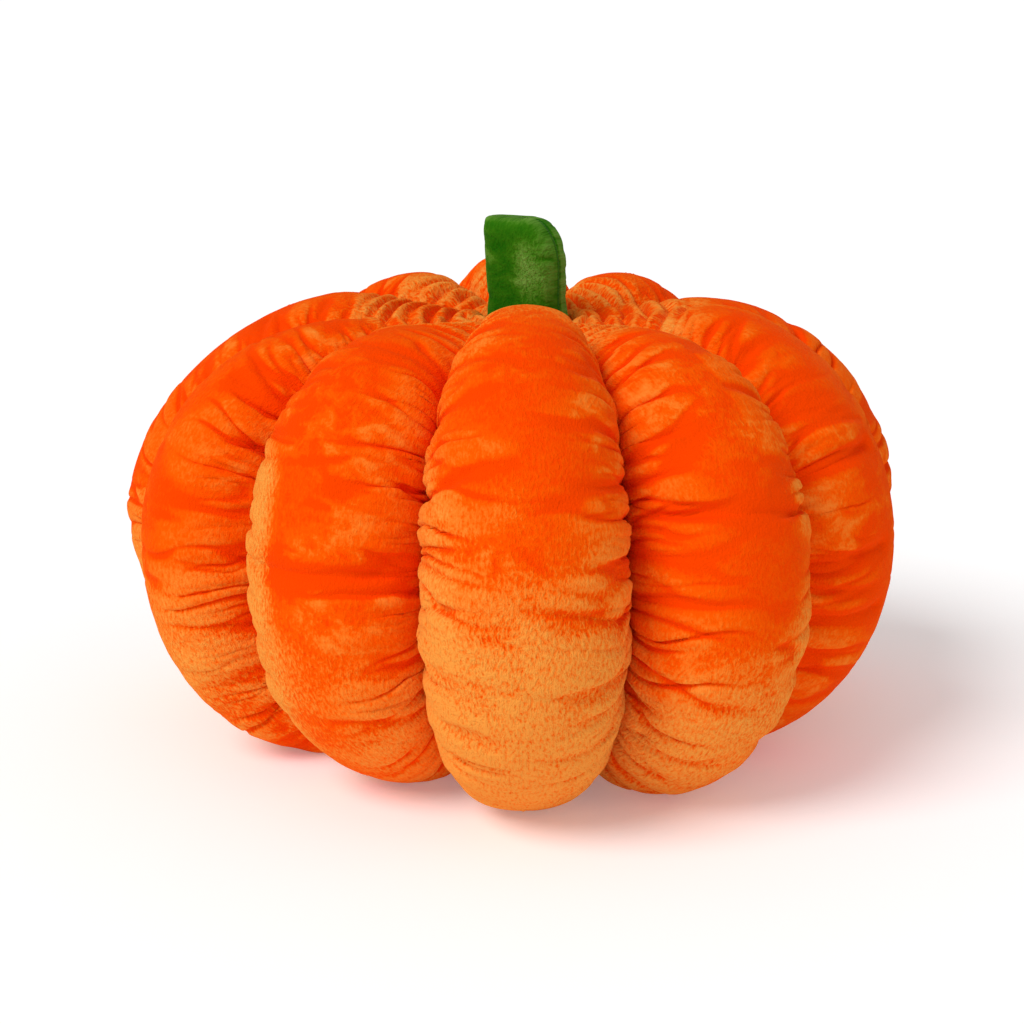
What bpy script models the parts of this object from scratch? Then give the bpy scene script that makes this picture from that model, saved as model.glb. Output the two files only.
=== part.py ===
"""Pumpkin plush: ten stuffed ribs of orange velour, drawn in at their seams round a short green stem.

Run with: blender --background --python part.py
Units are metres, +Z is up, the front of the plush faces -Y, and the floor is at z = 0.
"""

import math
from collections import namedtuple

import bmesh
import bpy

# Body, measured on the crest line of a rib
WAIST_HEIGHT = 0.118  # height of the widest part
CROWN_REACH = 0.100  # how far out a rib stands highest
FOOT_REACH = 0.103  # how far out a rib touches the floor
UNDER_HEIGHT = 0.030  # height of the hollow under the middle
FOOT_SINK = 0.004  # how much of a rib's round belly the floor presses flat
LOWER_ROUNDING = 2.07  # superellipse power below the waist, where 2 is a plain ellipse
SEAM_DEPTH = 0.285  # depth of a seam below the crest, as a share of the distance from the axis
CHEEK_ROUNDING = 2.15  # how full a rib is between its two seams
CORE_HEIGHT = 0.120  # a point on the axis from which every seam can be seen
PIECE_GAP = 0.0003  # air between two pieces that touch on the real plush
AXIS_X, AXIS_Y = 0.0088, 0.0072  # the body's axis, off the middle because its ribs are uneven

# Stem: two flat panels sewn round their edge and stuffed, turned so that its right seam shows
STEM_HALF_WIDTH = 0.0195
STEM_HALF_THICKNESS = 0.0150
STEM_HEIGHT = 0.0617
STEM_TURN = math.radians(30)
STEM_FLARE = 0.003  # how much wider the stem gets where it is sewn down
FLARE_HEIGHT = 0.018
STEM_LEAN = 0.0035  # how far the top left corner hangs over
SHOULDER_HEIGHT = 0.026  # rounding of the top right corner
SHOULDER_START = 0.001  # where the flat top ends and the shoulder begins
CORNER_RADIUS = 0.003  # rounding of the top left corner
PILLOW_POWER = 3.5  # how square the stem's section is, where 2 is an ellipse
PILLOW_TOP = 0.012  # height over which the stem thins out to its top seam

# Pocket in which the stem stands, between the inner ends of the ribs
SEAT_HEIGHT = 0.222
RIM_HEIGHT = 0.233
RIM_ROUND = 0.009
POCKET_CLEARANCE = 0.001

# Folds of velour across the inner slope of each rib, where its two seams draw it together
FOLDS = 6
FOLD_DEPTH = 0.004
FOLD_START = 3.1  # station at which they begin, full one half station later
CREASE_HALF_WIDTH = 0.04  # in stations, about 6 mm

# Mesh rows between one station and the next, and columns across a rib
ROWS = (5, 12, 12, 3 * FOLDS, 3)
COLUMNS = 10
STEM_ROWS = 7
STEM_COLUMNS = 12

# The azimuth, in degrees, of a rib's first seam runs from the front, -Y, towards +X, and the
# rib ends where the next one begins. The shoulder is its superellipse power above the waist.
Rib = namedtuple("Rib", "name azimuth reach crown shoulder")
RIBS = (
    Rib("gore_front", -18.2, 0.2140, 0.2526, 2.18),
    Rib("gore_right_1", 17.2, 0.2070, 0.2380, 2.18),
    Rib("gore_right_2", 51.0, 0.2020, 0.2415, 1.92),
    Rib("gore_right_3", 89.6, 0.2185, 0.2350, 1.94),
    Rib("gore_right_4", 130.9, 0.1940, 0.2413, 1.95),
    Rib("gore_back", 166.8, 0.2000, 0.2500, 2.18),
    Rib("gore_left_4", 201.5, 0.1950, 0.2426, 1.95),
    Rib("gore_left_3", 235.3, 0.2320, 0.2399, 1.70),
    Rib("gore_left_2", 276.6, 0.2130, 0.2350, 2.09),
    Rib("gore_left_1", 304.8, 0.1960, 0.2386, 2.18),
)

# Stations along a rib: 0 is on the axis below the plush, 1 the foot, 2 the waist, 3 the crown,
# 4 the rim of the stem's pocket and 5 its floor. A crease starts and ends at a share of the rib's
# half width, -1 at the rib's first seam and 1 at its last.
Crease = namedtuple("Crease", "rib station start end depth")
CREASES = (
    Crease("gore_front", 2.02, 0.10, 1.00, 0.0020),
    Crease("gore_front", 1.85, 0.25, 1.00, 0.0025),
    Crease("gore_right_1", 2.24, -1.00, 0.45, 0.0030),
    Crease("gore_right_1", 2.47, -1.00, -0.40, 0.0025),
    Crease("gore_right_2", 2.33, -1.00, 0.00, 0.0050),
    Crease("gore_right_2", 2.05, -1.00, -0.10, 0.0040),
    Crease("gore_right_2", 1.87, -1.00, -0.10, 0.0040),
    Crease("gore_right_3", 2.68, -0.80, 0.20, 0.0040),
    Crease("gore_right_4", 2.15, -0.20, 1.00, 0.0035),
    Crease("gore_back", 2.35, -1.00, 0.10, 0.0035),
    Crease("gore_left_4", 1.93, 0.00, 1.00, 0.0035),
    Crease("gore_left_3", 2.72, -0.10, 0.90, 0.0040),
    Crease("gore_left_2", 2.60, 0.20, 1.00, 0.0035),
    Crease("gore_left_1", 2.07, -0.70, 1.00, 0.0035),
)

ORANGE = (0.86, 0.12, 0.012, 1.0)
GREEN = (0.045, 0.17, 0.012, 1.0)
PILE_ROUGHNESS = 0.85
SHARP_ANGLE = math.radians(50)


def smooth(x):
    """0 below 0, 1 above 1, and an even rise between."""
    x = min(max(x, 0.0), 1.0)
    return x * x * (3 - 2 * x)


def pillow(x, power):
    """Height of a rounded profile: 1 in its middle, and falling upright to 0 at x = -1 and 1."""
    return max(1 - abs(x) ** power, 0.0) ** (1 / power)


def clear_scene():
    for obj in list(bpy.data.objects):
        bpy.data.objects.remove(obj)


def velour(name, colour):
    material = bpy.data.materials.new(name)
    material.use_nodes = True
    shader = material.node_tree.nodes["Principled BSDF"]
    shader.inputs["Base Color"].default_value = colour
    shader.inputs["Roughness"].default_value = PILE_ROUGHNESS
    shader.inputs["Metallic"].default_value = 0.0
    return material


def finish_mesh(name, bm, material):
    """Turns a bmesh into a named object of triangles, smooth but for its edges."""
    bmesh.ops.triangulate(bm, faces=[face for face in bm.faces if len(face.verts) > 3])
    bmesh.ops.recalc_face_normals(bm, faces=bm.faces)
    mesh = bpy.data.meshes.new(name)
    bm.to_mesh(mesh)
    bm.free()
    mesh.materials.append(material)
    mesh.shade_smooth()
    mesh.set_sharp_from_angle(angle=SHARP_ANGLE)
    obj = bpy.data.objects.new(name, mesh)
    bpy.context.scene.collection.objects.link(obj)
    return obj


def pocket_reach(azimuth):
    """Distance from the axis to the wall of the pocket, which follows the foot of the stem."""
    width = STEM_HALF_WIDTH + STEM_FLARE + POCKET_CLEARANCE
    thickness = STEM_HALF_THICKNESS + POCKET_CLEARANCE
    across = abs(math.sin(azimuth + STEM_TURN)) / width
    through = abs(math.cos(azimuth + STEM_TURN)) / thickness
    return (across**PILLOW_POWER + through**PILLOW_POWER) ** (-1 / PILLOW_POWER)


def crest(station, azimuth, rib):
    """A point (distance from the axis, height) on the crest line of a rib."""
    part, share = min(int(station), 4), station - min(int(station), 4)
    rise, run = math.sin(math.pi / 2 * share), max(math.cos(math.pi / 2 * share), 0.0)
    wall = pocket_reach(azimuth)
    if part == 0:
        hollow = (1 + math.cos(math.pi * share)) / 2
        return FOOT_REACH * share, (UNDER_HEIGHT + FOOT_SINK) * hollow - FOOT_SINK
    if part == 1:
        out = FOOT_REACH + (rib.reach - FOOT_REACH) * rise ** (2 / LOWER_ROUNDING)
        return out, WAIST_HEIGHT - (WAIST_HEIGHT + FOOT_SINK) * run ** (2 / LOWER_ROUNDING)
    if part == 2:
        out = CROWN_REACH + (rib.reach - CROWN_REACH) * run ** (2 / rib.shoulder)
        return out, WAIST_HEIGHT + (rib.crown - WAIST_HEIGHT) * rise ** (2 / rib.shoulder)
    if part == 3:
        out = CROWN_REACH + (wall + RIM_ROUND - CROWN_REACH) * share
        return out, rib.crown + (RIM_HEIGHT - rib.crown) * smooth(share)
    return wall + RIM_ROUND * (1 - rise), SEAT_HEIGHT + (RIM_HEIGHT - SEAT_HEIGHT) * run


def outward(station, azimuth, rib):
    """Unit normal (out, up) of the crest line."""
    step = 0.01
    below = crest(max(station - step, 0.0), azimuth, rib)
    above = crest(min(station + step, 5.0), azimuth, rib)
    out, up = above[1] - below[1], below[0] - above[0]
    length = math.hypot(out, up)
    return out / length, up / length


def blended(rib, neighbour, side):
    """The rib's own sizes, drawn to half way to its neighbour's where the two are sewn together."""
    share = 0.5 * abs(side) ** 6
    reach = rib.reach + share * (neighbour.reach - rib.reach)
    crown = rib.crown + share * (neighbour.crown - rib.crown)
    shoulder = rib.shoulder + share * (neighbour.shoulder - rib.shoulder)
    return rib._replace(reach=reach, crown=crown, shoulder=shoulder)


def stations(name):
    """Where a rib's mesh rows lie: evenly, but with three rows for each crease."""
    rows = [part + (k + 1) / count for part, count in enumerate(ROWS) for k in range(count)]
    for crease in CREASES:
        if crease.rib == name:
            rows = [u for u in rows if abs(u - crease.station) > 1.4 * CREASE_HALF_WIDTH]
            rows += [crease.station + k * CREASE_HALF_WIDTH for k in (-1, 0, 1)]
    return sorted(rows)


def fold_depth(name, station, side):
    """How far the folds and creases of a rib lie below its plain round surface."""
    share = station - 3
    ramp = smooth((station - FOLD_START) / 0.5) if station < 4 else 0.0
    edge = math.sqrt(max(1 - side * side, 0.0))
    depth = FOLD_DEPTH * ramp * edge * (1 - abs(math.sin(math.pi * FOLDS * share)))
    for crease in CREASES:
        if crease.rib == name:
            along = smooth((side - crease.start) / 0.2) * smooth((crease.end - side) / 0.2)
            across = 1 - abs(station - crease.station) / CREASE_HALF_WIDTH
            depth += crease.depth * along * max(across, 0.0)
    return depth


def rib_point(rib, neighbour, station, azimuth, side):
    """A point on the outside of a rib."""
    size = blended(rib, neighbour, side)
    r, z = crest(station, azimuth, size)
    out, up = outward(station, azimuth, size)
    sunk = SEAM_DEPTH * r * (1 - pillow(side, CHEEK_ROUNDING) ** (CHEEK_ROUNDING / 2))
    sunk += fold_depth(rib.name, station, side)
    r, z = r - out * sunk, z - up * sunk
    floor = 0.0 if station < 3 else SEAT_HEIGHT
    return r * math.sin(azimuth), -r * math.cos(azimuth), max(z, floor)


def gore(index, material):
    """One rib: its velour outside, and flat walls of filling behind both seams down to the axis."""
    before, rib, after = (RIBS[(index + k) % len(RIBS)] for k in (-1, 0, 1))
    first = math.radians(rib.azimuth)
    half = math.radians((after.azimuth - rib.azimuth) % 360) / 2
    sides = [math.sin(math.pi / 2 * (2 * c / COLUMNS - 1)) for c in range(COLUMNS + 1)]

    bm = bmesh.new()
    grid = []
    for station in stations(rib.name):
        row = []
        for side in sides:
            neighbour = before if side < 0 else after
            azimuth = first + half * (1 + side)
            row.append(bm.verts.new(rib_point(rib, neighbour, station, azimuth, side)))
        grid.append(row)
    bottom = bm.verts.new((0, 0, UNDER_HEIGHT))
    core = bm.verts.new((0, 0, CORE_HEIGHT))
    top = bm.verts.new((0, 0, SEAT_HEIGHT))
    for low, high in zip(grid, grid[1:]):
        for c in range(COLUMNS):
            bm.faces.new((low[c], low[c + 1], high[c + 1], high[c]))
    for c in range(COLUMNS):
        bm.faces.new((bottom, grid[0][c + 1], grid[0][c]))
        bm.faces.new((top, grid[-1][c], grid[-1][c + 1]))
    for c in (0, COLUMNS):
        seam = [bottom] + [row[c] for row in grid] + [top]
        for low, high in zip(seam, seam[1:]):
            bm.faces.new((core, low, high))

    obj = finish_mesh(rib.name, bm, material)
    apart = PIECE_GAP / 2 / math.sin(half)
    middle = first + half
    obj.location = (AXIS_X + apart * math.sin(middle), AXIS_Y - apart * math.cos(middle), 0)


def stem_edges(height):
    """Left and right edge of a stem panel at a height above the stem's foot."""
    flare = STEM_FLARE * (1 - smooth(height / FLARE_HEIGHT))
    left = -STEM_HALF_WIDTH - flare - STEM_LEAN * smooth(height / STEM_HEIGHT)
    right = STEM_HALF_WIDTH + flare
    corner = max(height - (STEM_HEIGHT - CORNER_RADIUS), 0.0) / CORNER_RADIUS
    left += CORNER_RADIUS * (1 - pillow(corner, 2))
    shoulder = max(height - (STEM_HEIGHT - SHOULDER_HEIGHT), 0.0) / SHOULDER_HEIGHT
    right = SHOULDER_START + (right - SHOULDER_START) * pillow(shoulder, 2)
    return left, right


def stem_panel(name, facing, material):
    """One panel of the stem with the filling behind it, flat where it meets the other panel."""
    straight = STEM_HEIGHT - SHOULDER_HEIGHT
    heights = [straight * k / STEM_ROWS for k in range(STEM_ROWS)]
    rounding = range(STEM_ROWS + 1)
    heights += [straight + SHOULDER_HEIGHT * math.sin(math.pi / 2 * k / STEM_ROWS) for k in rounding]

    bm = bmesh.new()
    grid = []
    for height in heights:
        left, right = stem_edges(height)
        top_share = max(height - (STEM_HEIGHT - PILLOW_TOP), 0.0) / PILLOW_TOP
        row = []
        for c in range(STEM_COLUMNS + 1):
            side = math.sin(math.pi / 2 * (2 * c / STEM_COLUMNS - 1))
            bulge = pillow(side, PILLOW_POWER) * pillow(top_share, PILLOW_POWER)
            x = (left + right) / 2 + (right - left) / 2 * side
            y = facing * (PIECE_GAP / 2 + STEM_HALF_THICKNESS * bulge)
            row.append(bm.verts.new((x, y, height)))
        grid.append(row)
    for low, high in zip(grid, grid[1:]):
        for c in range(STEM_COLUMNS):
            bm.faces.new((low[c], low[c + 1], high[c + 1], high[c]))
    for low, high in zip(grid, grid[1:-1]):
        bm.faces.new((low[0], high[0], high[-1], low[-1]))
    below_top, top = grid[-2], grid[-1]
    for c in range(STEM_COLUMNS):
        bm.faces.new((below_top[0], top[c], top[c + 1]))
    bm.faces.new((below_top[0], top[-1], below_top[-1]))
    bm.faces.new(grid[0])

    obj = finish_mesh(name, bm, material)
    obj.rotation_euler = (0, 0, -STEM_TURN)
    obj.location = (AXIS_X, AXIS_Y, SEAT_HEIGHT + PIECE_GAP)


def main():
    clear_scene()
    orange = velour("orange_velour", ORANGE)
    for index in range(len(RIBS)):
        gore(index, orange)
    green = velour("green_velour", GREEN)
    stem_panel("stem_front", -1, green)
    stem_panel("stem_back", 1, green)


main()
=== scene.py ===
# %% [markdown]
# A pumpkin plush: ten ribs of orange velour, sewn edge to edge, stuffed, and drawn in at their
# seams, with a short stuffed stem of green velour on top. The lesson dresses a plain solid model
# of it. The solids fix every size and place, so the first step is to load them and to note their
# box, which the finished plush must keep to.

import math
from collections import namedtuple

import bpy
import numpy as np
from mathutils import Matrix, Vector


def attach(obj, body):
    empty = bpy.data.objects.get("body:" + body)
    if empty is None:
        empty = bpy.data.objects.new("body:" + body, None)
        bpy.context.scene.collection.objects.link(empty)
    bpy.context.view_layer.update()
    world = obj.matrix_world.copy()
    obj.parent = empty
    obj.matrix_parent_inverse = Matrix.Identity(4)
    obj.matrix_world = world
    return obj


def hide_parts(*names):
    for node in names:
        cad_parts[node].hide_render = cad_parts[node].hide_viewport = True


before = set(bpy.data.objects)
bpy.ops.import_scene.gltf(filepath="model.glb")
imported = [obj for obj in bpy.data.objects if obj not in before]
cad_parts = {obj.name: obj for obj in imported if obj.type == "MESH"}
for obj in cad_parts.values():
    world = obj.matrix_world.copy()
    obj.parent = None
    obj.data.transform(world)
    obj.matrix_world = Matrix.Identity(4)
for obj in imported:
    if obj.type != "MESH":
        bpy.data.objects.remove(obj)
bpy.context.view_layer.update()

# %% [markdown]
# The sizes of the body are those of the solids. A rib is known by the azimuth of its first seam,
# by how far out it reaches, how high its crown stands, how square its shoulder is and how far out
# its foot rests. The azimuth runs from the front towards the right, and a rib ends where the next
# one begins. No two ribs of a stuffed toy come out alike, so each row differs a little.

# %% Sizes of the body
WAIST_HEIGHT = 0.118
CROWN_REACH = 0.100
FOOT_REACH = 0.103
UNDER_HEIGHT = 0.030
FOOT_SINK = 0.004
LOWER_ROUNDING = 2.07
SEAM_DEPTH = 0.285
CHEEK_ROUNDING = 2.15
CORE_HEIGHT = 0.120
AXIS = Vector((0.0088, 0.0072, 0.0))
SEAT_HEIGHT, RIM_HEIGHT, RIM_ROUND = 0.222, 0.233, 0.009

Rib = namedtuple("Rib", "name azimuth reach crown shoulder foot", defaults=(FOOT_REACH,))
RIBS = (
    Rib("gore_front", -18.2, 0.2140, 0.2526, 2.18, 0.096),
    Rib("gore_right_1", 17.2, 0.2070, 0.2380, 2.18),
    Rib("gore_right_2", 51.0, 0.2020, 0.2415, 1.92, 0.082),
    Rib("gore_right_3", 89.6, 0.2185, 0.2350, 1.94),
    Rib("gore_right_4", 130.9, 0.1940, 0.2413, 1.95),
    Rib("gore_back", 166.8, 0.2000, 0.2500, 2.18),
    Rib("gore_left_4", 201.5, 0.1950, 0.2426, 1.95),
    Rib("gore_left_3", 235.3, 0.2320, 0.2399, 1.70),
    Rib("gore_left_2", 276.6, 0.2130, 0.2350, 2.09),
    Rib("gore_left_1", 304.8, 0.1960, 0.2386, 2.18, 0.082),
)

STEM_HALF_WIDTH, STEM_HALF_THICKNESS, STEM_HEIGHT = 0.0195, 0.0150, 0.0617
STEM_TURN = math.radians(30)
STEM_FLARE, FLARE_HEIGHT, STEM_LEAN = 0.003, 0.018, 0.0035
SHOULDER_HEIGHT, SHOULDER_START, CORNER_RADIUS = 0.026, 0.001, 0.0014
PILLOW_POWER, PILLOW_TOP, POCKET_CLEARANCE = 3.5, 0.012, 0.001
PIECE_GAP = 0.0003
print(len(RIBS), "ribs, the widest reaching", max(rib.reach for rib in RIBS), "m")

# %% [markdown]
# The crest line runs over the middle of a rib. It is told in stations: 0 is on the axis under the
# plush, 1 the foot, 2 the waist, 3 the crown, 4 the rim round the stem and 5 the seat of the stem.
# From foot to crown it is two quarters of a superellipse, a curve that can be made a little
# squarer than an ellipse. Everything here works on whole arrays of points at once, which is what
# makes a dense mesh quick to build.

# %% The crest line
def smooth(x):
    """0 below 0, 1 above 1, and an even rise between."""
    x = np.clip(x, 0, 1)
    return x * x * (3 - 2 * x)


def pillow(x, power):
    """Height of a rounded profile: 1 in the middle, and falling upright to 0 at -1 and 1."""
    return np.clip(1 - np.abs(x) ** power, 0, 1) ** (1 / power)


def pocket_reach(azimuth):
    """Distance from the axis to the wall of the pocket in which the stem stands."""
    width = STEM_HALF_WIDTH + STEM_FLARE + POCKET_CLEARANCE
    thickness = STEM_HALF_THICKNESS + POCKET_CLEARANCE
    across = np.abs(np.sin(azimuth + STEM_TURN)) / width
    through = np.abs(np.cos(azimuth + STEM_TURN)) / thickness
    return (across**PILLOW_POWER + through**PILLOW_POWER) ** (-1 / PILLOW_POWER)


def crest(station, azimuth, reach, crown, shoulder, foot):
    """Distance from the axis and height of points on a rib's crest line."""
    part = np.minimum(station.astype(int), 4)
    share = station - part
    rise = np.sin(np.pi / 2 * share)
    run = np.clip(np.cos(np.pi / 2 * share), 0, 1)
    wall = pocket_reach(azimuth)
    out = [
        foot * share,
        foot + (reach - foot) * rise ** (2 / LOWER_ROUNDING),
        CROWN_REACH + (reach - CROWN_REACH) * run ** (2 / shoulder),
        CROWN_REACH + (wall + RIM_ROUND - CROWN_REACH) * share,
        wall + RIM_ROUND * (1 - rise),
    ]
    up = [
        (UNDER_HEIGHT + FOOT_SINK) * (1 + np.cos(np.pi * share)) / 2 - FOOT_SINK,
        WAIST_HEIGHT - (WAIST_HEIGHT + FOOT_SINK) * run ** (2 / LOWER_ROUNDING),
        WAIST_HEIGHT + (crown - WAIST_HEIGHT) * rise ** (2 / shoulder),
        crown + (RIM_HEIGHT - crown) * smooth(share),
        SEAT_HEIGHT + (RIM_HEIGHT - SEAT_HEIGHT) * run,
    ]
    parts = [part == k for k in range(5)]
    return np.select(parts, out), np.select(parts, up)


# %% [markdown]
# Long creases and top folds are part of a rib's shape. A crease is a trough that runs across the
# rib at one station, between two shares of its half width, -1 being the first seam and 1 the
# last. It sags or climbs by its slope on the way. The table follows the photograph where it
# shows a rib, and the ribs behind get a few of their own.

# %% Creases and folds
Crease = namedtuple("Crease", "rib station slope start end depth")
CREASES = (
    Crease("gore_front", 2.02, -0.02, 0.10, 1.00, 0.0020),
    Crease("gore_front", 1.85, -0.05, 0.25, 1.00, 0.0025),
    Crease("gore_right_1", 2.24, -0.04, -1.00, 0.45, 0.0030),
    Crease("gore_right_1", 2.47, -0.08, -1.00, -0.40, 0.0025),
    Crease("gore_right_2", 2.33, 0.02, -1.00, 0.00, 0.0050),
    Crease("gore_right_2", 2.05, 0.03, -1.00, -0.10, 0.0040),
    Crease("gore_right_2", 1.87, 0.02, -1.00, -0.10, 0.0040),
    Crease("gore_right_3", 2.68, 0.00, -0.80, 0.20, 0.0040),
    Crease("gore_right_4", 2.15, 0.03, -0.20, 1.00, 0.0035),
    Crease("gore_back", 2.35, 0.03, -1.00, 0.10, 0.0035),
    Crease("gore_left_4", 1.93, -0.03, 0.00, 1.00, 0.0035),
    Crease("gore_left_3", 2.72, 0.00, -0.10, 0.90, 0.0040),
    Crease("gore_left_2", 2.60, 0.03, 0.20, 1.00, 0.0035),
    Crease("gore_left_1", 2.07, 0.01, -0.70, 1.00, 0.0035),
)
CREASE_HALF_WIDTH = 0.022
FOLDS, FOLD_DEPTH, FOLD_START = 6, 0.0062, 3.02


def fold_depth(rib, station, side):
    """How far the folds and creases of a rib lie below its plain round surface."""
    turn = 1.7 * RIBS.index(rib)
    ramp = np.where(station < 4, smooth((station - FOLD_START) / 0.35), 0)
    edge = np.sqrt(np.clip(1 - side * side, 0, 1))
    wander = 0.060 * np.sin(1.6 * side + turn) + 0.022 * np.sin(3.9 * side - turn + 7 * station)
    folds = FOLDS + (RIBS.index(rib) * 2 % 3 - 1)
    wave = np.abs(np.sin(np.pi * folds * (station - 3 + wander)))
    uneven = 1 + 0.35 * np.sin(3.1 * side + 17 * station + turn)
    depth = FOLD_DEPTH * uneven * ramp * edge * (1 - wave)
    for crease in CREASES:
        if crease.rib == rib.name:
            along = smooth((side - crease.start) / 0.25) * smooth((crease.end - side) / 0.12)
            off = (station - crease.station - crease.slope * side) / CREASE_HALF_WIDTH
            depth = depth + crease.depth * along * np.exp(-np.abs(off) ** 1.2)
    return depth


print(len(CREASES), "long creases, and", FOLDS, "folds on the inner slope of each rib")

# %% [markdown]
# A rib's outside is a grid of points: rows run up the crest line at an even pitch, and columns
# fan out from seam to seam. Each point sits below the crest by a share of its distance from the
# axis, and that share grows towards the seams. Near a seam the sizes blend with the neighbour's,
# so that both ribs end on the same line.

# %% The outside of a rib
def rib_angles(index):
    """Azimuth of the middle of a rib, and half its width, in radians."""
    rib, after = RIBS[index], RIBS[(index + 1) % len(RIBS)]
    half = math.radians((after.azimuth - rib.azimuth) % 360) / 2
    return math.radians(rib.azimuth) + half, half


def even_stations(rib, middle, count, first=0.12, last=5.0):
    """Stations that lie an even distance apart along the crest, and that distance in metres."""
    fine = np.linspace(first, last, 4000)
    line = np.stack(crest(fine, np.full_like(fine, middle), *rib[2:]))
    length = np.concatenate([[0], np.cumsum(np.hypot(*np.diff(line, axis=1)))])
    marks = np.linspace(0, length[-1], count)
    return np.interp(marks, length, fine), marks


def rib_points(index, stations, sides):
    """The outside of a rib as an array of rows by columns by (x, y, z)."""
    rib, before, after = (RIBS[(index + k) % len(RIBS)] for k in (0, -1, 1))
    middle, half = rib_angles(index)
    station, side = np.meshgrid(stations, sides, indexing="ij")
    azimuth = middle + half * side
    share = 0.5 * np.abs(side) ** 6

    def blended(size):
        own = getattr(rib, size)
        neighbour = np.where(side < 0, getattr(before, size), getattr(after, size))
        return own + share * (neighbour - own)

    sizes = [blended(size) for size in ("reach", "crown", "shoulder", "foot")]
    r, z = crest(station, azimuth, *sizes)
    r_below, z_below = crest(np.maximum(station - 0.01, 0), azimuth, *sizes)
    r_above, z_above = crest(np.minimum(station + 0.01, 5), azimuth, *sizes)
    out, up = z_above - z_below, r_below - r_above
    length = np.hypot(out, up)
    fullness = np.sqrt(np.clip(1 - np.abs(side) ** CHEEK_ROUNDING, 0, 1))
    sunk = SEAM_DEPTH * r * (1 - fullness) + fold_depth(rib, station, side)
    r, z = r - out / length * sunk, z - up / length * sunk
    floor = np.where(station < 3, 0.0, SEAT_HEIGHT)
    return np.stack([r * np.sin(azimuth), -r * np.cos(azimuth), np.maximum(z, floor)], -1)


# %% [markdown]
# A mesh object is filled from the grid in one call per array. The outside gets flat walls behind
# both seams that meet on the axis, so the rib is one closed body. Numbers are kept on the points
# for the steps to come: how far along the rib a point lies and how far across it, both measured on
# the cloth in metres, its side, from -1 at the first seam to 1 at the last, how far it is raised,
# in millimetres, how loose the cloth is there, and how its pile is brushed, together with the
# painted shade and painted sheen highlights that ride on that number.

# %% From a grid to a mesh
def grid_faces(rows, columns):
    corner = np.arange(rows * columns).reshape(rows, columns)
    sides = corner[:-1, :-1], corner[:-1, 1:], corner[1:, 1:], corner[1:, :-1]
    return np.stack(sides, -1).reshape(-1, 4)


def new_object(name, points, faces):
    """A smooth object from arrays of points and of faces, kept as a list of corner numbers."""
    mesh = bpy.data.meshes.new(name)
    mesh.from_pydata(points.tolist(), [], faces)
    mesh.update()
    mesh.shade_smooth()
    obj = bpy.data.objects.new(name, mesh)
    bpy.context.scene.collection.objects.link(obj)
    return obj


def keep_numbers(obj, name, values):
    """Stores one number a point on the mesh, for Geometry Nodes and materials to read."""
    spare = len(obj.data.vertices) - values.size
    attribute = obj.data.attributes.new(name, "FLOAT", "POINT")
    attribute.data.foreach_set("value", np.pad(values.ravel(), (0, spare)).astype(np.float32))


def closed_rib(name, grid):
    """The rib's outside, closed by walls from both seams and both ends to the axis."""
    rows, columns = grid.shape[:2]
    on_axis = [[0, 0, UNDER_HEIGHT], [0, 0, CORE_HEIGHT], [0, 0, SEAT_HEIGHT]]
    points = np.concatenate([grid.reshape(-1, 3), on_axis])
    bottom, core, top = range(rows * columns, rows * columns + 3)
    faces = grid_faces(rows, columns).tolist()
    first, last = np.arange(columns), np.arange(columns) + (rows - 1) * columns
    faces += [(bottom, b, a) for a, b in zip(first, first[1:])]
    faces += [(top, a, b) for a, b in zip(last, last[1:])]
    for column, order in ((0, 1), (columns - 1, -1)):
        seam = [bottom] + (np.arange(rows) * columns + column).tolist() + [top]
        faces += [(core, a, b)[::order] for a, b in zip(seam, seam[1:])]
    return new_object(name, points, faces)


# %% [markdown]
# Stuffing does the rest of the shape. A rib's cloth is cut longer than the seam that it is sewn
# to, so when it is filled it puckers along both seams. Blender's Cloth can show how: the edges are
# pinned, the cloth near them is told that it is longer than it looks, and pressure fills it. The
# vertex group gives 1 where the cloth keeps its length and 0 where it grows the most. All ribs
# are filled in the same few frames. Only the puckers are kept, as the movement that is left when
# its average along the rib is taken away, because the swell is in the sizes above already. They
# are drawn out across the rib a little and die away from the seams, as the real ones do.

# %% Stuff the ribs
STUFFING_ROWS, STUFFING_COLUMNS, STUFFING_FRAMES, STUFFING_SCALE = 340, 65, 7, 10.0
MOST_GROWTH, SWELL_LENGTH, MOST_PUCKER, PUCKER_REACH = 0.6, 23, 0.0034, 0.40


def spread_sides(count):
    """Shares of the half width from seam to seam, closer together near the seams."""
    even = np.linspace(-1, 1, count)
    return 0.5 * even + 0.5 * np.sin(np.pi / 2 * even)


def row_average(values, width):
    """Moving average down the rows of an array, over an odd number of them."""
    pad = [(width // 2, width // 2)] + [(0, 0)] * (values.ndim - 1)
    total = np.cumsum(np.insert(np.pad(values, pad, mode="edge"), 0, 0, axis=0), axis=0)
    return (total[width:] - total[:-width]) / width


def resampled(values, places):
    """Values read between the rows of an array, on a smooth curve through four of them."""
    place = np.clip(places, 0, len(values) - 1.000001)
    first = place.astype(int)
    t = (place - first).reshape(-1, *[1] * (values.ndim - 1))
    a, b, c, d = (values[np.clip(first + k, 0, len(values) - 1)] for k in (-1, 0, 1, 2))
    return b + t / 2 * (c - a + t * (2 * a - 5 * b + 4 * c - d + t * (3 * (b - c) + d - a)))


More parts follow.
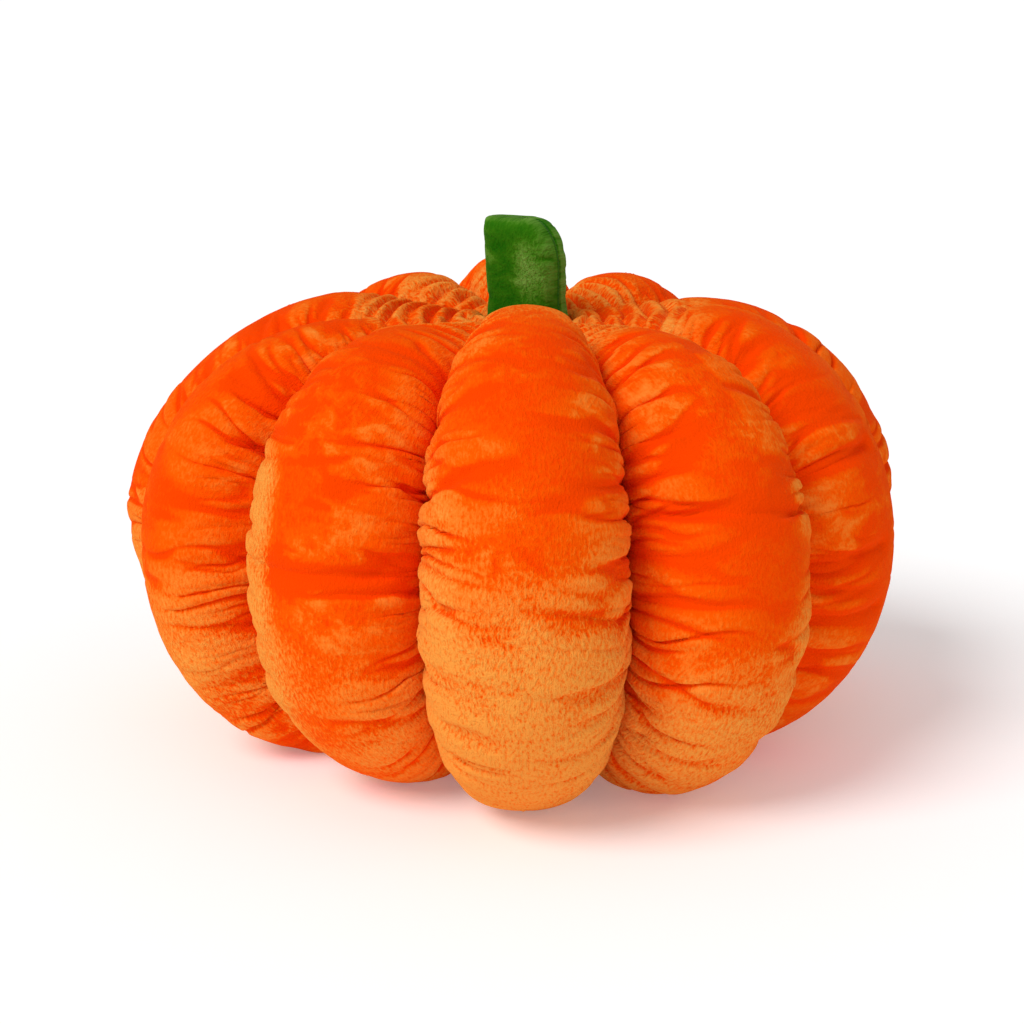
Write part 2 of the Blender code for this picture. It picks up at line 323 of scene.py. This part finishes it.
def cloth_for(index, start):
    """A cloth object for one rib, pinned round its edge and longer near its seams."""
    rows, columns = start.shape[:2]
    chance = np.random.default_rng(40 + index)
    ruffle = row_average(row_average(chance.normal(size=(columns, rows)), 9).T, 3)
    outward = np.array([math.sin(rib_angles(index)[0]), -math.cos(rib_angles(index)[0]), 0.3])
    ruffled = start + 0.0004 * ruffle[..., None] * outward
    large = ruffled.reshape(-1, 3) * STUFFING_SCALE
    obj = new_object("cloth", large, grid_faces(rows, columns).tolist())
    number = np.arange(rows * columns).reshape(rows, columns)
    edge = np.ones((rows, columns), bool)
    edge[1:-1, 1:-1] = False
    obj.vertex_groups.new(name="sewn").add(number[edge].tolist(), 1.0, "REPLACE")
    pitch = np.linalg.norm(np.diff(start, axis=0, prepend=start[:1]), axis=2)
    pitch[0] = pitch[1]
    growth = row_average(pitch[:, columns // 2, None] / pitch - 1, 15)
    keeps = np.rint(40 * (1 - np.clip(growth / MOST_GROWTH, 0, 1))).astype(int)
    own_length = obj.vertex_groups.new(name="own_length")
    for level in range(1, 41):
        own_length.add(number[keeps == level].tolist(), level / 40, "REPLACE")
    cloth = obj.modifiers.new("Cloth", "CLOTH")
    cloth.settings.quality = 5
    cloth.settings.mass = 0.05
    cloth.settings.tension_stiffness = cloth.settings.compression_stiffness = 40
    cloth.settings.shear_stiffness = 5
    cloth.settings.bending_stiffness = 0.2
    cloth.settings.tension_damping = cloth.settings.compression_damping = 0.5
    cloth.settings.shear_damping = cloth.settings.bending_damping = 0.5
    cloth.settings.air_damping = 1
    cloth.settings.use_pressure = True
    cloth.settings.uniform_pressure_force = 4
    cloth.settings.vertex_group_mass = "sewn"
    cloth.settings.shrink_min = -MOST_GROWTH
    cloth.settings.shrink_max = 0
    cloth.settings.vertex_group_shrink = "own_length"
    cloth.settings.effector_weights.gravity = 0
    cloth.collision_settings.use_collision = False
    cloth.point_cache.frame_start, cloth.point_cache.frame_end = 1, STUFFING_FRAMES
    return obj


def stuff_ribs():
    """The puckers of every rib, as movements on a coarse grid."""
    sides = spread_sides(STUFFING_COLUMNS)
    starts = []
    for index, rib in enumerate(RIBS):
        stations, marks = even_stations(rib, rib_angles(index)[0], STUFFING_ROWS)
        starts.append(rib_points(index, stations, sides))
    cloths = [cloth_for(index, start) for index, start in enumerate(starts)]
    for frame_number in range(1, STUFFING_FRAMES + 1):
        bpy.context.scene.frame_set(frame_number)
    depsgraph = bpy.context.evaluated_depsgraph_get()
    movements = []
    for obj, start in zip(cloths, starts):
        filled = np.empty(start.size, np.float32)
        obj.evaluated_get(depsgraph).data.vertices.foreach_get("co", filled)
        moved = filled.reshape(start.shape).astype(float) / STUFFING_SCALE - start
        puckers = moved - row_average(moved, SWELL_LENGTH)
        puckers = row_average(puckers.swapaxes(0, 1), 7).swapaxes(0, 1)
        size = np.linalg.norm(puckers, axis=2, keepdims=True)
        puckers *= np.minimum(1, MOST_PUCKER / np.maximum(size, 1e-9))
        near_seam = np.exp(-(1 - np.abs(sides)) / PUCKER_REACH)
        movements.append(puckers * near_seam[:, None])
        bpy.data.objects.remove(obj)
    bpy.context.scene.frame_set(1)
    return movements


movements = stuff_ribs()
print("puckers of up to", round(1000 * max(float(np.abs(m).max()) for m in movements), 1), "mm")

# %% [markdown]
# The cloth is longer than its seams, so it gathers there. A gather is a small crease that starts
# at the seam, runs across the rib and dies out. One Geometry Nodes tree makes them all: noise is
# stretched across the rib, and where it passes through its middle value the surface is pressed
# in. Used three times with other sizes, it gives long soft puckers, gathers, and fine ones close
# to the seam.

# %% A tree for gathers
class Nodes:
    """Adds nodes to a tree: settings first, then a value or a link for each socket."""

    def __init__(self, tree):
        self.tree = tree

    def add(self, kind, inputs=None, **settings):
        node = self.tree.nodes.new(kind)
        for setting, value in settings.items():
            setattr(node, setting, value)
        for socket, value in (inputs or {}).items():
            self.put(node.inputs[socket], value)
        return node

    def put(self, socket, value):
        if isinstance(value, Number):
            value = value.socket
        if isinstance(value, bpy.types.NodeSocket):
            self.tree.links.new(value, socket)
        else:
            socket.default_value = value

    def mixed(self, factor, first, second):
        """A colour between two others."""
        node = self.add("ShaderNodeMix", None, data_type="RGBA")
        for position, value in ((0, factor), (6, first), (7, second)):
            self.put(node.inputs[position], value)
        return node.outputs[2]


class Number:
    """A socket that can be reckoned with: each operator adds a Math node."""

    def __init__(self, nodes, socket):
        self.nodes = nodes
        self.socket = socket

    def math(self, operation, *others, **settings):
        values = dict(enumerate((self, *others)))
        node = self.nodes.add("ShaderNodeMath", None, operation=operation, **settings)
        for position, value in values.items():
            self.nodes.put(node.inputs[position], value)
        return Number(self.nodes, node.outputs[0])

    def __add__(self, other):
        return self.math("ADD", other)

    __radd__ = __add__

    def __mul__(self, other):
        return self.math("MULTIPLY", other)

    __rmul__ = __mul__

    def __sub__(self, other):
        return self.math("SUBTRACT", other)

    def __rsub__(self, other):
        return (self * -1.0).math("ADD", other)

    def __truediv__(self, other):
        return self.math("DIVIDE", other)

    def __pow__(self, other):
        return self.math("POWER", other)

    def absolute(self):
        return self.math("ABSOLUTE")

    def part(self, start, end):
        """0 up to start, 1 from end on, and even between."""
        node = self.nodes.add("ShaderNodeMapRange", {"Value": self, "From Min": start, "From Max": end})
        return Number(self.nodes, node.outputs["Result"])

    def rise(self, start, end):
        """0 up to start, 1 from end on, and smooth between."""
        inputs = {"Value": self, "From Min": start, "From Max": end}
        node = self.nodes.add("ShaderNodeMapRange", inputs, interpolation_type="SMOOTHSTEP")
        return Number(self.nodes, node.outputs["Result"])


def gather_tree():
    tree = bpy.data.node_groups.new("gathers", "GeometryNodeTree")
    tree.is_modifier = True
    for name, kind in (
        ("Geometry", "NodeSocketGeometry"),
        ("Spacing", "NodeSocketFloat"),
        ("Depth", "NodeSocketFloat"),
        ("Reach", "NodeSocketFloat"),
        ("Seed", "NodeSocketFloat"),
        ("Material", "NodeSocketMaterial"),
    ):
        tree.interface.new_socket(name, in_out="INPUT", socket_type=kind)
    tree.interface.new_socket("Geometry", in_out="OUTPUT", socket_type="NodeSocketGeometry")
    nodes = Nodes(tree)
    given = nodes.add("NodeGroupInput").outputs

    def kept(name):
        node = nodes.add("GeometryNodeInputNamedAttribute", {"Name": name}, data_type="FLOAT")
        return Number(nodes, node.outputs["Attribute"])

    along, across, side = kept("along"), kept("across"), kept("side")
    spacing, depth, reach = (Number(nodes, given[name]) for name in ("Spacing", "Depth", "Reach"))
    seed = Number(nodes, given["Seed"])
    which_side = across.rise(-0.001, 0.001) * 7.3
    outward, middle = across.absolute(), side.absolute()

    def noise(x, y, detail):
        place = nodes.add("ShaderNodeCombineXYZ", {"X": x, "Y": y, "Z": seed + which_side})
        inputs = {"Vector": place.outputs[0], "Scale": 1.0, "Detail": detail, "Roughness": 0.5}
        return Number(nodes, nodes.add("ShaderNodeTexNoise", inputs).outputs[0])

    wander = noise(outward / spacing * 0.25, along / spacing * 0.3, 0.0) - 0.5
    lines = noise(along / spacing * 0.62 + wander * 1.2, outward / spacing * 0.09, 0.0)
    puff = (lines - 0.5).absolute().rise(0.0, 0.11) ** 0.5
    strong = 0.35 + 0.65 * noise(along / spacing * 0.21, outward * 3.0, 0.0).rise(0.30, 0.62)
    length = reach * (0.45 + 1.1 * noise(along / spacing * 0.45, 5.0, 0.0).rise(0.25, 0.75))
    fading = middle.rise(1 - length, 1 - length * 0.35)
    at_seam = 1 - middle.rise(0.985, 1.0)
    push = depth * strong * fading * at_seam * kept("loose") * (puff - 0.7)
    normal = nodes.add("GeometryNodeInputNormal").outputs[0]
    offset = nodes.add("ShaderNodeVectorMath", {0: normal}, operation="SCALE")
    nodes.put(offset.inputs["Scale"], push)
    raised = {"Geometry": given["Geometry"], "Name": "raised", "Value": kept("raised") + 1000 * push}
    stored = nodes.add("GeometryNodeStoreNamedAttribute", raised, data_type="FLOAT", domain="POINT")
    moved = nodes.add("GeometryNodeSetPosition", {"Geometry": stored.outputs[0]})
    nodes.put(moved.inputs["Offset"], offset.outputs[0])
    real = nodes.add("GeometryNodeRealizeInstances", {0: moved.outputs[0]})
    painted = nodes.add("GeometryNodeSetMaterial", {"Geometry": real.outputs[0]})
    nodes.put(painted.inputs["Material"], given["Material"])
    nodes.add("NodeGroupOutput", {0: painted.outputs[0]})
    return tree


Gathers = namedtuple("Gathers", "spacing depth reach")
GATHERS = (
    Gathers(0.020, 0.0032, 0.90),
    Gathers(0.010, 0.0030, 0.80),
    Gathers(0.006, 0.0017, 0.60),
)
gathers = gather_tree()
print("gather tree with", len(gathers.nodes), "nodes")


# %% Gathering a rib
def add_gathers(obj, sizes, seed, material):
    """Adds the tree to a rib once for each size of gather."""
    sockets = [item for item in gathers.interface.items_tree if item.in_out == "INPUT"]
    names = {socket.name: socket.identifier for socket in sockets}
    for k, size in enumerate(sizes):
        modifier = obj.modifiers.new("gathers", "NODES")
        modifier.node_group = gathers
        modifier[names["Spacing"]] = size.spacing
        modifier[names["Depth"]] = size.depth
        modifier[names["Reach"]] = size.reach
        modifier[names["Seed"]] = seed + 3.7 * k
        modifier[names["Material"]] = material


def made_plain(obj):
    """Turns what an object's modifiers make into its plain mesh."""
    depsgraph = bpy.context.evaluated_depsgraph_get()
    plain = bpy.data.meshes.new_from_object(obj.evaluated_get(depsgraph), depsgraph=depsgraph)
    obj.modifiers.clear()
    obj.data = plain
    return obj


# %% [markdown]
# Velour is short upright pile. Where the pile leans towards the eye the colour is deep and red,
# and where it leans away its lit sides show, paler and dusty. Handling leaves patches of both,
# The material mixes three tones by that brushing, which also carries painted light: painted shade
# on the side of a rib turned from the key light and a painted sheen highlight on its outer cheek. It
# mixes them by patches, by how far the cloth is raised or drawn in, which is partly the pile and
# partly painted highlight on the ridges and painted shade in the creases, and by fine streaks that
# run along the rib. The streaks also lift the surface a little. A sheen catches the light on
# surfaces seen at a low angle, as the tips of real pile do.

# %% Velour
def velour(name, deep, middle, pale, sheen, speckle):
    material = bpy.data.materials.new(name)
    material.use_nodes = True
    tree = material.node_tree
    nodes = Nodes(tree)
    shader = tree.nodes["Principled BSDF"]

    def kept(attribute):
        return Number(nodes, nodes.add("ShaderNodeAttribute", attribute_name=attribute).outputs["Fac"])

    along, across, raised = kept("along"), kept("across"), kept("raised")
    brushing_and_painted_light = kept("brushing_and_painted_light")

    def noise(x, y, scale, detail, roughness=0.5, distortion=0.0):
        place = nodes.add("ShaderNodeCombineXYZ", {"X": x, "Y": y}).outputs[0]
        inputs = {"Vector": place, "Scale": scale, "Detail": detail}
        inputs.update({"Roughness": roughness, "Distortion": distortion})
        return Number(nodes, nodes.add("ShaderNodeTexNoise", inputs).outputs["Fac"]) - 0.5

    drift = noise(across, along, 12.0, 3.0)
    handled = noise(across, along, 15.0, 1.0).rise(-0.05, 0.12)
    mottle = noise(across * 0.8, along, 85.0, 5.0, 0.65, 0.4)
    streaks = noise(across * 2.2, along, 300.0, 1.0, 0.5)
    tufts = noise(across * 1.6, along, 900.0, 1.0, 0.5)
    brushed_and_lit = 1 - (brushing_and_painted_light + drift * 2.8).rise(-1.1, 1.1)
    # Raised cloth is paler and drawn-in cloth deeper: partly the pile, partly painted highlight on ridges
    # and painted shade in creases.
    ridge_and_crease_shading = raised.rise(-1.3, 0.9) - 0.5
    grain = streaks * 2.6 + tufts * 1.2
    # A painted highlight where the brushing number is lowest: on the outer cheeks with their painted
    # sheen, and low on the front's left cheek.
    painted_highlight = (0 - brushing_and_painted_light).part(0.6, 1.8)
    lean = brushed_and_lit * 0.72 + painted_highlight * 0.25 + mottle * (0.30 + 1.1 * handled)
    paleness = lean + grain * speckle * (0.12 + 0.62 * brushed_and_lit) + ridge_and_crease_shading * (0.60 - 0.22 * brushed_and_lit) - 0.02
    warm = nodes.mixed(paleness.part(0.0, 0.40), (*deep, 1), (*middle, 1))
    colour = nodes.mixed(paleness.part(0.25, 0.95), warm, (*pale, 1))
    tree.links.new(colour, shader.inputs["Base Color"])

    pile = (streaks + tufts * 0.8) * (0.35 + 0.65 * brushed_and_lit) + mottle * 0.3
    bump = nodes.add("ShaderNodeBump", {"Height": pile, "Strength": 0.6, "Distance": 0.0026})
    tree.links.new(bump.outputs[0], shader.inputs["Normal"])
    shader.inputs["Roughness"].default_value = 0.85
    shader.inputs["Specular IOR Level"].default_value = 0.0
    shader.inputs["Sheen Weight"].default_value = 0.16
    shader.inputs["Sheen Roughness"].default_value = 0.35
    shader.inputs["Sheen Tint"].default_value = (*sheen, 1)
    return material


orange_velour = velour(
    "orange_velour",
    deep=(0.92, 0.056, 0.0004),
    middle=(0.95, 0.128, 0.0016),
    pale=(0.94, 0.330, 0.052),
    sheen=(1.0, 0.48, 0.12),
    speckle=1.0,
)
green_velour = velour(
    "green_velour",
    deep=(0.012, 0.112, 0.002),
    middle=(0.052, 0.190, 0.006),
    pale=(0.180, 0.350, 0.060),
    sheen=(0.5, 0.8, 0.3),
    speckle=0.5,
)
print("velour in", orange_velour.name, "and", green_velour.name)

# %% [markdown]
# Each rib is made in turn: the grid of its outside, its closed mesh, the numbers on its points,
# and the gathers, which are then made part of the mesh. A table says how the pile of a rib is
# brushed and where light is painted on it: the height up to which it is pale, how strongly, how
# much deeper it gets from the first seam to the last, partly painted shade on the side turned from
# the key light, how far its outer cheek gets a painted sheen highlight, and from which share of
# the half width.

# %% Make the ribs
BrushingAndLight = namedtuple("BrushingAndLight", "height strength slant rub rub_from")
BRUSHING_AND_LIGHT = dict(
    gore_front=BrushingAndLight(0.140, 1.05, 0.30, 0.8, 0.35),
    gore_right_1=BrushingAndLight(0.078, 0.72, -0.05, 1.0, 0.12),
    gore_right_2=BrushingAndLight(0.050, 0.15, 0.00, 0.4, 0.00),
    gore_right_3=BrushingAndLight(0.060, 0.45, 0.00, 0.6, 0.00),
    gore_left_1=BrushingAndLight(0.085, 0.42, 0.35, 2.2, 0.02),
    gore_left_2=BrushingAndLight(0.110, 0.62, 0.30, 0.9, 0.00),
)
BRUSHING_AND_LIGHT_REST = BrushingAndLight(0.105, 0.70, 0.00, 0.8, 0.20)
BRUSHED_FADE, RIM_SHEEN_HEIGHT = 0.050, 0.185


def brushing_and_painted_light(rib, middle, height, station, side):
    """-1 where the pile is brushed the pale way, 1 where it isn't, and values between, with painted light:
    a painted sheen highlight on the outer cheek and partly painted shade towards the last seam.
    """
    brushed_and_lit = BRUSHING_AND_LIGHT.get(rib.name, BRUSHING_AND_LIGHT_REST)
    line = brushed_and_lit.height - 0.020 * np.abs(side) ** 2
    above = np.clip((height - line) / BRUSHED_FADE, 1 - 2 * brushed_and_lit.strength, 1.1)
    # The outer cheek gets a painted sheen highlight, up to the rim sheen height.
    outer = smooth((np.sign(math.sin(middle - 0.01)) * side - brushed_and_lit.rub_from) / 0.38)
    painted_rim_sheen = brushed_and_lit.rub * outer * smooth((RIM_SHEEN_HEIGHT - height) / 0.03 + 0.5)
    inner_slope = smooth((station - 2.80) / 0.45)
    # The slant deepens the rib towards its last seam, partly the pile and partly painted shade on the side
    # turned from the key light.
    return above + brushed_and_lit.slant * side - painted_rim_sheen * (above + 1) / 2 - 1.45 * inner_slope


RIB_ROWS, RIB_COLUMNS, UNDERSIDE = 570, 80, 0.11
SEAM_GAP = 0.00004


def keep_between_seams(obj, index):
    """Presses points that pass a rib's seam planes back on to them."""
    middle, half = rib_angles(index)
    points = np.empty(len(obj.data.vertices) * 3, np.float32)
    obj.data.vertices.foreach_get("co", points)
    place = points.reshape(-1, 3).astype(float) - AXIS
    for azimuth, sign in ((middle - half, -1), (middle + half, 1)):
        outward = sign * np.array([math.cos(azimuth), math.sin(azimuth), 0])
        past = np.maximum(place @ outward + SEAM_GAP, 0)
        place -= past[:, None] * outward
    place[:, 2] = np.maximum(place[:, 2], 0)
    obj.data.vertices.foreach_set("co", (place + AXIS).astype(np.float32).ravel())
    obj.data.update()


def make_rib(index):
    rib = RIBS[index]
    middle, half = rib_angles(index)
    stations, fine = even_stations(rib, middle, 4000)
    share = np.linspace(0, 1, RIB_ROWS)
    under = UNDERSIDE * np.sqrt(share / UNDERSIDE)
    marks = fine[-1] * np.where(share < UNDERSIDE, under, share)
    stations = np.interp(marks, fine, stations)
    sides = spread_sides(RIB_COLUMNS)
    grid = rib_points(index, stations, sides)
    puckers = resampled(movements[index], marks / fine[-1] * (STUFFING_ROWS - 1))
    puckers *= (1 - 0.6 * smooth((stations - 2.95) / 0.4))[:, None, None]
    places = np.interp(sides, spread_sides(STUFFING_COLUMNS), np.arange(STUFFING_COLUMNS))
    puckers = resampled(puckers.swapaxes(0, 1), places).swapaxes(0, 1)
    outward = grid / np.linalg.norm(grid * [1, 1, 0.3], axis=2, keepdims=True)
    raised = 400 * (puckers * outward).sum(axis=2)
    raised -= 1000 * fold_depth(rib, *np.meshgrid(stations, sides, indexing="ij"))
    grid = grid + puckers
    steps = np.linalg.norm(np.diff(grid, axis=1), axis=2)
    across = np.concatenate([np.zeros((RIB_ROWS, 1)), np.cumsum(steps, axis=1)], 1)
    apart = SEAM_GAP / math.sin(half)
    shift = [apart * math.sin(middle), -apart * math.cos(middle), 0]
    obj = closed_rib("velour_" + rib.name, grid + shift + np.array(AXIS))
    keep_numbers(obj, "along", np.repeat(marks[:, None], RIB_COLUMNS, 1) + index)
    keep_numbers(obj, "across", across - across[:, -1:] / 2)
    keep_numbers(obj, "side", np.repeat(sides[None, :], RIB_ROWS, 0))
    keep_numbers(obj, "raised", raised)
    keep_numbers(obj, "loose", np.repeat(1 - 0.65 * smooth((stations - 2.95) / 0.4), RIB_COLUMNS))
    keep_numbers(obj, "brushing_and_painted_light", brushing_and_painted_light(rib, middle, grid[..., 2], stations[:, None], sides))
    add_gathers(obj, GATHERS, 11.0 * index, orange_velour)
    made_plain(obj)
    keep_between_seams(obj, index)
    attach(obj, "root")
    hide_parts(rib.name)
    print(obj.name, len(obj.data.polygons), "faces, from seam to seam", round(float(across.max()), 3), "m")


for index in range(len(RIBS)):
    make_rib(index)

# %% [markdown]
# The stem is two panels sewn round their edge and stuffed, a small pillow with one square corner
# and one round shoulder. It stands between the inner ends of the ribs, turned so that its right
# seam shows. Its pile is deep on the left, carries a painted sheen highlight in a patch on the
# right, is rubbed pale along its rim, and is drawn in dark along the seam.

# %% The stem
STEM_ROWS, STEM_COLUMNS = 130, 100
STEM_GATHERS = (Gathers(0.013, 0.0005, 0.75), Gathers(0.005, 0.0004, 0.30))


def stem_edges(height):
    """Left and right edge of a panel at heights above the stem's foot."""
    flare = STEM_FLARE * (1 - smooth(height / FLARE_HEIGHT))
    corner = np.clip(height - (STEM_HEIGHT - CORNER_RADIUS), 0, None) / CORNER_RADIUS
    shoulder = np.clip(height - (STEM_HEIGHT - SHOULDER_HEIGHT), 0, None) / SHOULDER_HEIGHT
    left = -STEM_HALF_WIDTH - flare - STEM_LEAN * smooth(height / STEM_HEIGHT)
    left = left + CORNER_RADIUS * (1 - pillow(corner, 2))
    right = SHOULDER_START + (STEM_HALF_WIDTH + flare - SHOULDER_START) * pillow(shoulder, 2)
    return left, right


def stem_grid(facing):
    """One panel, bulging towards the front for facing -1 and towards the back for 1."""
    even = np.linspace(0, 1, STEM_ROWS)
    heights = STEM_HEIGHT * (0.55 * even + 0.45 * np.sin(np.pi / 2 * even))
    sides = np.sin(np.pi / 2 * np.linspace(-1, 1, STEM_COLUMNS))
    height, side = np.meshgrid(heights, sides, indexing="ij")
    left, right = stem_edges(height)
    top = np.clip(height - (STEM_HEIGHT - PILLOW_TOP), 0, None) / PILLOW_TOP
    bulge = STEM_HALF_THICKNESS * pillow(side, PILLOW_POWER) * pillow(top, PILLOW_POWER)
    x = (left + right) / 2 + (right - left) / 2 * side
    return np.stack([x, facing * (SEAM_GAP + bulge), height], -1)


def make_stem_panel(name, facing):
    grid = stem_grid(facing)
    turned = grid.copy()
    turned[..., 0] = grid[..., 0] * math.cos(STEM_TURN) + grid[..., 1] * math.sin(STEM_TURN)
    turned[..., 1] = grid[..., 1] * math.cos(STEM_TURN) - grid[..., 0] * math.sin(STEM_TURN)
    turned += [AXIS.x, AXIS.y, SEAT_HEIGHT + PIECE_GAP]
    rows, columns = grid.shape[:2]
    corner = np.arange(rows * columns).reshape(rows, columns)
    faces = grid_faces(rows, columns)[:, ::-facing].tolist()
    back = [corner[:-1, 0], corner[1:, 0], corner[1:, -1], corner[:-1, -1]]
    flat = np.stack(back, -1)[:-1, ::-facing].tolist()
    flat.append((corner[-2, [0]].tolist() + corner[-1].tolist() + corner[-2, [-1]].tolist())[::-facing])
    foot = corner[0].tolist()[::facing]
    obj = new_object("velour_" + name, turned.reshape(-1, 3), faces + flat + [foot])
    sides = np.sin(np.pi / 2 * np.linspace(-1, 1, STEM_COLUMNS))
    keep_numbers(obj, "along", grid[..., 2] + 20 + facing)
    keep_numbers(obj, "across", grid[..., 0])
    keep_numbers(obj, "side", np.repeat(sides[None, :], STEM_ROWS, 0))
    side, rise = np.meshgrid(sides, grid[:, 0, 2] / STEM_HEIGHT)
    keep_numbers(obj, "raised", -2.0 * (np.abs(side) > 0.9999))
    keep_numbers(obj, "loose", np.ones(grid.shape[:2]))
    # A painted sheen highlight in a patch right of the middle of each panel.
    sheen_patch = np.exp(-(((side - 0.50) / 0.40) ** 2) - ((rise - 0.54) / 0.28) ** 2)
    rim = smooth((np.abs(side) - 0.75) / 0.25) + smooth((rise - 0.93) / 0.07)
    keep_numbers(obj, "brushing_and_painted_light", 0.6 - 0.3 * facing - 1.5 * sheen_patch - 0.5 * rim)
    add_gathers(obj, STEM_GATHERS, 130.0 + facing, green_velour)
    made_plain(obj)
    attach(obj, "root")
    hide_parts(name)
    print(obj.name, len(obj.data.polygons), "faces")


make_stem_panel("stem_front", -1)
make_stem_panel("stem_back", 1)

# %% [markdown]
# The plush stands on a pale floor, in the light of a white studio: an even surround, a broad key
# from the upper left and a weak fill from the right. Both lamps are wide suns, which light a
# large floor evenly as far as the eye can see. The floor glows a little, like a light table, and
# brightens the undersides of the ribs.

# %% Floor and light
def wide_sun(name, azimuth, elevation, strength, width):
    """A soft sun, its azimuth from the front towards the right."""
    data = bpy.data.lights.new(name, "SUN")
    data.energy = strength
    data.angle = math.radians(width)
    lamp = bpy.data.objects.new(name, data)
    lamp.rotation_euler = (math.radians(90 - elevation), 0, math.radians(azimuth))
    bpy.context.scene.collection.objects.link(lamp)


FLOOR_SIZE = 240.0
corners = np.array([(-1, -1, 0), (1, -1, 0), (1, 1, 0), (-1, 1, 0)]) * FLOOR_SIZE / 2
floor = new_object("floor", corners, [(0, 1, 2, 3)])
floor_paint = bpy.data.materials.new("floor_paint")
floor_paint.use_nodes = True
floor_shader = floor_paint.node_tree.nodes["Principled BSDF"]
floor_shader.inputs["Base Color"].default_value = (0.97, 0.97, 0.97, 1)
floor_shader.inputs["Roughness"].default_value = 0.9
floor_shader.inputs["Emission Color"].default_value = (1, 1, 1, 1)
floor_shader.inputs["Emission Strength"].default_value = 0.16
floor.data.materials.append(floor_paint)

wide_sun("key", -50, 46, 1.90, 30)
wide_sun("fill", 60, 30, 0.16, 60)
world = bpy.data.worlds.new("studio")
world.use_nodes = True
world.node_tree.nodes["Background"].inputs["Color"].default_value = (1, 1, 1, 1)
world.node_tree.nodes["Background"].inputs["Strength"].default_value = 0.47
bpy.context.scene.world = world
bpy.context.scene.view_settings.view_transform = "Standard"

# %% [markdown]
# The camera stands about a metre away and looks 15 degrees down. Its height, distance and lens
# were worked out from the seams and the outline of the plush in the photograph. The point on the
# axis that it aims at shows a little right of the picture's middle, hence the small shift.

# %% Camera
CAMERA_DISTANCE = 1.0775
CAMERA_ELEVATION = math.radians(15.19)
AIM_HEIGHT = 0.1217
LENS, SENSOR = 68.2, 36.0
PICTURE, AIM_COLUMN, AIM_ROW = 1024, 527.65, 510.64

camera_data = bpy.data.cameras.new("camera")
camera_data.lens = LENS
camera_data.sensor_width = SENSOR
camera_data.shift_x = (PICTURE / 2 - AIM_COLUMN) / PICTURE
camera_data.shift_y = (AIM_ROW - PICTURE / 2) / PICTURE
camera = bpy.data.objects.new("camera", camera_data)
back, up = math.cos(CAMERA_ELEVATION), math.sin(CAMERA_ELEVATION)
camera.location = AXIS + Vector((0, -CAMERA_DISTANCE * back, AIM_HEIGHT + CAMERA_DISTANCE * up))
camera.rotation_euler = (math.pi / 2 - CAMERA_ELEVATION, 0, 0)
bpy.context.scene.collection.objects.link(camera)
bpy.context.scene.camera = camera
